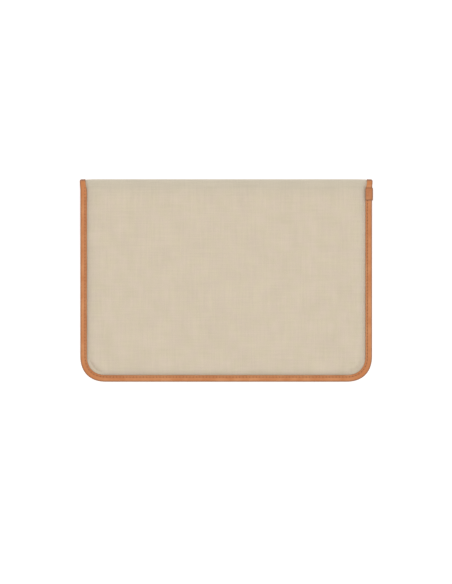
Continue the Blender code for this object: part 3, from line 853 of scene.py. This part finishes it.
def face_profile():
    """The leather's visible face, from its free edge to its turn: (inset, depth, groove)."""
    made = [(SHOWN_BAND - back, depth, 0) for back, depth in FREE_EDGE]
    made += [(STITCH_INSET + aside, 0.0, dip) for aside, dip in GROOVE_SHAPE]
    made += [(STITCH_INSET - aside, 0.0, dip) for aside, dip in reversed(GROOVE_SHAPE[:-1])]
    made.append((EDGE_ROUND + 0.0006, 0.0, 0))
    for step in range(7):
        t = math.pi / 2 * step / 6
        inset = EDGE_ROUND * (1 - math.sin(t)) - EDGE_SWELL * math.sin(t)
        made.append((inset, EDGE_ROUND * (1 - math.cos(t)), 0))
    return made


def binding_profile():
    """The whole folded section: (face, inset, depth, groove), and face 1 is the inner one."""
    outer = [(0, i, d, g) for i, d, g in face_profile()]
    inner = [(1, i, d, g) for i, d, g in reversed(face_profile())]
    pocket = [
        (1, SHOWN_BAND, LEATHER, 0), (1, LEATHER, LEATHER, 0),
        (0, LEATHER, LEATHER, 0), (0, SHOWN_BAND, LEATHER, 0),
    ]
    return outer + inner + pocket


def u_path(mouth, foot, step):
    """Evenly spaced stations round the U: each gives points at any inset, and its distance."""
    bend_at = foot + CORNER_REACH
    turns = np.linspace(0, math.pi / 2, PATH_POINTS)
    down = np.linspace(mouth, bend_at, PATH_POINTS)
    nothing, whole = np.zeros(PATH_POINTS), np.ones(PATH_POINTS)
    base = np.full(PATH_POINTS, bend_at)
    cos_part = 1 - np.cos(turns) ** (2 / CORNER_POWER)
    sin_part = 1 - np.sin(turns) ** (2 / CORNER_POWER)
    cos_part[-1], sin_part[0] = 1, 1
    half = np.concatenate([
        np.stack([nothing, down, nothing], axis=1),
        np.stack([cos_part, base, 1 - sin_part], axis=1)[1:],
        np.stack([1 + np.linspace(0, 1, PATH_POINTS), base, whole], axis=1)[1:],
    ])

    def place(rows, inset):
        reach = CORNER_REACH - inset
        across, level, drop = rows[:, 0], rows[:, 1], rows[:, 2]
        x = -(HALF_WIDTH - inset) + reach * np.minimum(across, 1)
        x = x + (HALF_WIDTH - CORNER_REACH) * np.clip(across - 1, 0, 1)
        return x, level - reach * drop

    x, y = place(half, STITCH_INSET)
    run = np.concatenate([[0], np.cumsum(np.hypot(np.diff(x), np.diff(y)))])
    count = round(2 * run[-1] / step)
    along = np.linspace(0, 2 * run[-1], count + 1)
    mirrored = np.minimum(along, 2 * run[-1] - along)
    rows = np.stack([np.interp(mirrored, run, half[:, k]) for k in range(3)], axis=1)
    sign = np.where(along > run[-1], -1, 1)

    def at(inset):
        px, py = place(rows, inset)
        return px * sign, py

    return at, along


def pressed(along):
    """How far the groove is pulled in: whole at each hole, and least in a stitch's middle."""
    return PRESS_MEAN + PRESS_SWING * np.cos(2 * math.pi * along / PITCH)


def section_uv(profile, u):
    """Texture coordinates in metres: along the binding, and in from its edge on each face."""
    wide = np.array([inset + INNER_FACE_SHIFT * face for face, inset, _, _ in profile])
    return np.stack([u, np.broadcast_to(wide[:, None], u.shape)], axis=-1)


def edge_binding(name, foot, datum, seams, fold_part, nodes, left_end, right_end):
    """The binding round the pocket or the flap, with its ends going into the fold."""
    at, along = u_path(FOLD_START, foot, STATION)
    profile = binding_profile()
    flap = fold_part == 3
    last = math.pi - RAYS[2] if flap else RAYS[0]
    turns = np.linspace(0, last, 9)[1:]
    angles = math.pi - turns if flap else turns
    _, line_y = at(STITCH_INSET)
    stitched = ((line_y < left_end) | (np.arange(len(along)) > len(along) / 2))
    stitched &= ((line_y < right_end) | (np.arange(len(along)) < len(along) / 2))
    press = np.where(stitched, pressed(along), PRESS_PLAIN)
    rails, edges, runs = [], [], []
    for face, inset, depth, groove in profile:
        toward = math.copysign(1, seams[1 - face] - seams[face])
        height = seams[face] + toward * (depth + groove * GROOVE * press)
        px, py = at(inset)
        px = px + np.sign(px) * (inset - neck_inset(inset, py) + flare_at(py))
        around = np.stack([px, py, datum + height], axis=1)
        outset = BINDING_OUTSET - depth if face == 0 else FOLD[5] + depth
        narrow = neck_inset(inset, FOLD_START + FOLD_DEPTH * np.sin(angles))
        right = fold_points(np.full(len(turns), outset), HALF_WIDTH - narrow, angles)
        left = right[::-1] * np.array([-1, 1, 1])
        rails.append(np.concatenate([left, around, right]))
        # Painted shade on the leather towards the fold's crest
        painted_shade_edge = fold_edge(inset, angles)
        edges.append(np.concatenate([painted_shade_edge[::-1], np.full(len(along), inset), painted_shade_edge]))
        steps = np.diff(np.concatenate([around[-1:], right]), axis=0)
        reach = np.linalg.norm(steps, axis=1).cumsum()
        runs.append(np.concatenate([-reach[::-1], along, along[-1] + reach]))
    rails, edges, uv = np.array(rails), np.array(edges), section_uv(profile, np.array(runs))
    low = np.clip(foot + CORNER_REACH - rails[..., 1], 0, None)
    out = np.clip(np.abs(rails[..., 0]) - (HALF_WIDTH - CORNER_REACH), 0, None)
    stretch = smooth(np.minimum(low, out) / CORNER_STRETCH)
    normals = grid_normals(rails, True)
    piece = swept(name, rails, normals, uv, edges, BINDING_LOOK, stretch)
    bend(piece, fold_part)
    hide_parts(*nodes)
    return at, along, stitched


def neck_inset(inset, y):
    """The band narrows to a neck as it comes to the fold."""
    narrow = NECK * smooth((y - NECK_START) / NECK_RUN)
    return inset - narrow * max(inset - STITCH_INSET, 0) / (BAND - STITCH_INSET)


def fold_edge(inset, angles):
    """Edge distance for the leather's colour: painted shade darkens it towards the crest of the
    fold.
    """
    return np.minimum(inset, FOLD_CREST_SHADE * np.abs(np.cos(angles)))


def fold_bindings():
    """The binding on both ends of the fold, between the pocket's and the flap's."""
    profile = binding_profile()
    for side, word in ((-1, "left"), (1, "right")):
        for part, label, nodes in ((1, "upper", (1, 2)), (2, "lower", (3,))):
            angles = np.linspace(RAYS[part - 1], RAYS[part], 17)
            rails, edges, runs = [], [], []
            for face, inset, depth, _ in profile:
                outset = BINDING_OUTSET - depth if face == 0 else FOLD[5] + depth
                narrow = neck_inset(inset, FOLD_START + FOLD_DEPTH * np.sin(angles))
                line = fold_points(np.full(len(angles), outset), HALF_WIDTH - narrow, angles)
                rails.append(line * np.array([side, 1, 1]))
                edges.append(fold_edge(inset, angles))
                run = np.linalg.norm(np.diff(line, axis=0), axis=1).cumsum()
                runs.append(np.concatenate([[0], run]))
            rails, edges = np.array(rails), np.array(edges)
            uv = section_uv(profile, np.array(runs))
            piece = swept(
                f"binding_{word}_{label}", rails, grid_normals(rails, True), uv, edges,
                LEATHER_LOOK,
            )
            bend(piece, part)
            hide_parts(*[f"fold_binding_{word}_{k}" for k in nodes])


def mouth_binding():
    """The binding along the pocket's mouth, from one side binding to the other."""
    profile = binding_profile()
    half = HALF_WIDTH - BAND - MOUTH_END_GAP
    count = round(2 * half / STATION)
    x = np.linspace(-half, half, count + 1)
    inset_x = HALF_WIDTH - np.abs(x)
    rise = swell(inset_x, SHOULDER)
    outer = SEAM[5] + (MOUTH[0] - SEAM[5]) * rise
    inner = SEAM[0] - BINDING_OUTSET + (MOUTH[7] - SEAM[0] + BINDING_OUTSET) * rise
    press = pressed(x + half)
    rails, edges = [], []
    for face, back, depth, groove in profile:
        sink = depth + groove * GROOVE * press
        height = outer - sink if face == 0 else inner + sink
        y = np.full(len(x), FOLD_START - back)
        rails.append(np.stack([x, y, BODY_MIDDLE - height], axis=1))
        edges.append(np.full(len(x), back))
    rails, edges = np.array(rails), np.array(edges)
    uv = section_uv(profile, np.broadcast_to(x + half, edges.shape))
    normals = grid_normals(rails, True)
    piece = swept("binding_mouth", rails, normals, uv, edges, BINDING_LOOK)
    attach(piece, "pocket")
    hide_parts("mouth_binding")
    shown = np.abs(x) < half - MOUTH_UNSTITCHED
    y = np.full(len(x), FOLD_START - STITCH_INSET)
    for word, height in (("needle", outer), ("bobbin", inner)):
        line = np.stack([x, y, BODY_MIDDLE - height], axis=1)
        up = -1 if word == "needle" else 1
        piece = stitches(f"stitches_mouth_{word}", line, x + half, shown, up)
        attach(piece, "pocket")
        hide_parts(f"mouth_{word}_thread")


def lap():
    """The short leather wrap over the join in the binding, on the right beside the mouth."""
    outset = CLEARANCE + LAP_LEATHER
    top = SEAM[5] + outset
    turn = EDGE_ROUND + outset
    outer = [
        (LAP_BAND + LAP_LIP, top - LAP_LIP), (LAP_BAND, top), (LAP_BAND - LAP_FLAT, top),
        (STITCH_INSET - 0.001, top),
    ]
    outer += [
        (EDGE_ROUND - (turn + LAP_SWELL) * math.sin(t), top - turn * (1 - math.cos(t)))
        for t in np.linspace(0, math.pi / 2, 9)
    ]
    under = top - LAP_LEATHER
    inner = [(LAP_BAND + LAP_LIP, under), (LAP_BAND - LAP_FLAT, under)]
    for t in np.linspace(0, math.pi / 2, 7):
        inset = -CLEARANCE + EDGE_ROUND * (1 - math.sin(t))
        inner.append((inset, SEAM[5] + CLEARANCE - EDGE_ROUND * (1 - math.cos(t))))
    section = outer + [(i, -h) for i, h in reversed(outer)]
    section += [(i, -h) for i, h in inner] + list(reversed(inner))
    y = np.linspace(LAP_START, FOLD_START, 17)
    above, below = y - LAP_START, FOLD_START - y
    thin = LAP_THIN * (np.exp(-(above / LAP_THIN_RUN)) + np.exp(-(below / LAP_THIN_RUN)))
    count = len(outer) * 2
    rails, edges = [], []
    for k, (inset, height) in enumerate(section):
        shrink = thin if k < count else 0 * thin
        z = BODY_MIDDLE + height - np.sign(height) * shrink
        rails.append(np.stack([HALF_WIDTH - inset - shrink * (inset < 0), y, z], axis=1))
        # Edge distance: low at the lap's cut ends, and on its rounded right side, which gets
        # painted shade
        edges.append(np.clip(np.minimum(np.minimum(above, below), inset + outset), 0, None))
    rails, edges = np.array(rails), np.array(edges)
    wide = np.cumsum([0] + [math.dist(a, b) for a, b in zip(section, section[1:])])
    uv = np.stack(np.broadcast_arrays(y[None, :], wide[:, None]), axis=-1)
    normals = grid_normals(rails, True)
    piece = swept("binding_lap_wrap", rails, normals, uv, edges, LAP_LOOK)
    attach(piece, "pocket")
    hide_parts("binding_lap")


def stitches(name, line, along, shown, up):
    """Separate stitches along a line of the leather's face, each diving into its two holes."""
    points, faces, normals, uvs = [], [], [], []
    first = math.ceil(along[shown].min() / PITCH) + 1
    last = math.floor(along[shown].max() / PITCH) - 1
    for number in range(first, last + 1):
        middle = (number + 0.5) * PITCH
        spans = middle + np.linspace(-0.5, 0.5, RINGS) * PITCH * STITCH_SHARE
        centre = np.stack([np.interp(spans, along, line[:, k]) for k in range(3)], axis=1)
        ahead = centre[-1] - centre[0]
        ahead = ahead / np.linalg.norm(ahead)
        out = np.array([0, 0, up], float)
        out = out - ahead * (out @ ahead)
        out /= np.linalg.norm(out)
        aside = np.cross(ahead, out)
        slant = np.linspace(-0.5, 0.5, RINGS) * STITCH_SLANT
        share = np.abs(np.linspace(-1, 1, RINGS))
        depth = STITCH_SINK + STITCH_DIVE * share**3
        radius = THREAD_RADIUS * (1 - STITCH_TAPER * share**2)
        base = (number - first) * RINGS * SIDES
        block = []
        for ring in range(RINGS):
            hub = centre[ring] - out * depth[ring] + aside * slant[ring]
            for k in range(SIDES):
                t = 2 * math.pi * k / SIDES
                arm = out * math.cos(t) + aside * math.sin(t)
                block.append(hub + arm * radius[ring])
                normals.append(arm)
                uvs.append((spans[ring], k / SIDES * THREAD_ROUND))
        points.append(np.array(block))
        for ring in range(RINGS - 1):
            for k in range(SIDES):
                a, b = base + ring * SIDES + k, base + ring * SIDES + (k + 1) % SIDES
                faces.append((a, b, b + SIDES, a + SIDES))
        faces.append(tuple(base + k for k in range(SIDES)))
        faces.append(tuple(base + (RINGS - 1) * SIDES + k for k in reversed(range(SIDES))))
    points = np.concatenate(points)
    return build(
        name, points, faces, np.array(normals), np.array(uvs),
        np.full(len(points), THREAD_EDGE), THREAD_LOOK,
    )


def edges_and_stitches():
    """The pocket's and the flap's bindings, and the stitches on both faces of each."""
    for name, foot, datum, seams, part, bodies, ends in (
        ("body", FOOT, BODY_MIDDLE, (SEAM[5], -SEAM[5]), 0, "pocket",
         (FOLD_START - LEFT_UNSTITCHED / 2, LAP_START)),
        ("flap", FLAP_FOOT, 0, (FLAP_SEAM[0], FLAP_SEAM[7]), 3, "flap",
         (FOLD_START - LEFT_UNSTITCHED, FOLD_START - LEFT_UNSTITCHED)),
    ):
        at, along, stitched = edge_binding(
            f"binding_{name}", foot, datum, seams, part, [f"{name}_binding"], *ends,
        )
        x, y = at(STITCH_INSET)
        for face, word in enumerate(("needle", "bobbin")):
            up = 1 if seams[face] > seams[1 - face] else -1
            line = np.stack([x, y, np.full(len(x), datum + seams[face])], axis=1)
            piece = stitches(f"stitches_{name}_{word}", line, along, stitched, up)
            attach(piece, bodies)
            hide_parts(f"{name}_{word}_thread")


# ---------------------------------------------------------------- stage

# The camera's film width and lens in millimetres, and the height it sees at the binding's top
VIEW_WIDTH = 36.0
LENS = 100.0
SEEN_HEIGHT = 0.6935
CAMERA_OFFSET = (-0.0002, -0.0137)
BAND_TOP = BODY_MIDDLE + SEAM[5]
FLOOR_SPAN = 4.0
FLOOR_TOP = -0.0004


def lamp(name, place, target, size, power):
    """A round lamp that faces its target."""
    light = bpy.data.lights.new(name, "AREA")
    light.shape = "DISK"
    light.size = size
    light.energy = power
    made = bpy.data.objects.new(name, light)
    bpy.context.scene.collection.objects.link(made)
    made.location = place
    made.rotation_euler = (Vector(target) - Vector(place)).to_track_quat("-Z", "Y").to_euler()


def stage():
    """A plain white floor, a soft surround, a large lamp above the fold side, and the camera."""
    mesh = bpy.data.meshes.new("floor")
    corners = ((-1, -1), (1, -1), (1, 1), (-1, 1))
    points = [(x * FLOOR_SPAN, y * FLOOR_SPAN, FLOOR_TOP) for x, y in corners]
    mesh.from_pydata(points, [], [(0, 1, 2, 3)])
    floor = bpy.data.objects.new("floor", mesh)
    bpy.context.scene.collection.objects.link(floor)
    look, _, shader = tree_of("floor_white")
    shader.inputs["Base Color"].default_value = (0.6, 0.6, 0.6, 1)
    shader.inputs["Roughness"].default_value = 0.9
    shader.inputs["Emission Color"].default_value = (1, 1, 1, 1)
    shader.inputs["Emission Strength"].default_value = 0.6
    mesh.materials.append(look)

    world = bpy.data.worlds.new("surround")
    bpy.context.scene.world = world
    world.use_nodes = True
    background = world.node_tree.nodes["Background"]
    background.inputs["Color"].default_value = (1, 1, 1, 1)
    background.inputs["Strength"].default_value = 0.76
    lamp("key", (0.08, 0.10, 1.9), (0, 0, 0), 1.0, 10.0)

    camera = bpy.data.cameras.new("camera")
    camera.lens = LENS
    camera.sensor_width = VIEW_WIDTH
    camera.clip_end = 50
    seat = bpy.data.objects.new("camera", camera)
    seat.location = (*CAMERA_OFFSET, BAND_TOP + SEEN_HEIGHT * LENS / VIEW_WIDTH)
    bpy.context.scene.collection.objects.link(seat)
    bpy.context.scene.camera = seat
    bpy.context.scene.view_settings.view_transform = "Standard"


def repaint(word, finish):
    """Gives the CAD nodes that stay and have this word in their names a better material."""
    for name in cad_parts:
        obj = bpy.data.objects.get(name)
        if obj is not None and word in name:
            obj.data.materials.clear()
            obj.data.materials.append(finish)


stage()
repaint("foam", FOAM_LOOK)
repaint("magnet", MAGNET_LOOK)
panels()
edges_and_stitches()
fold_bindings()
mouth_binding()
lap()
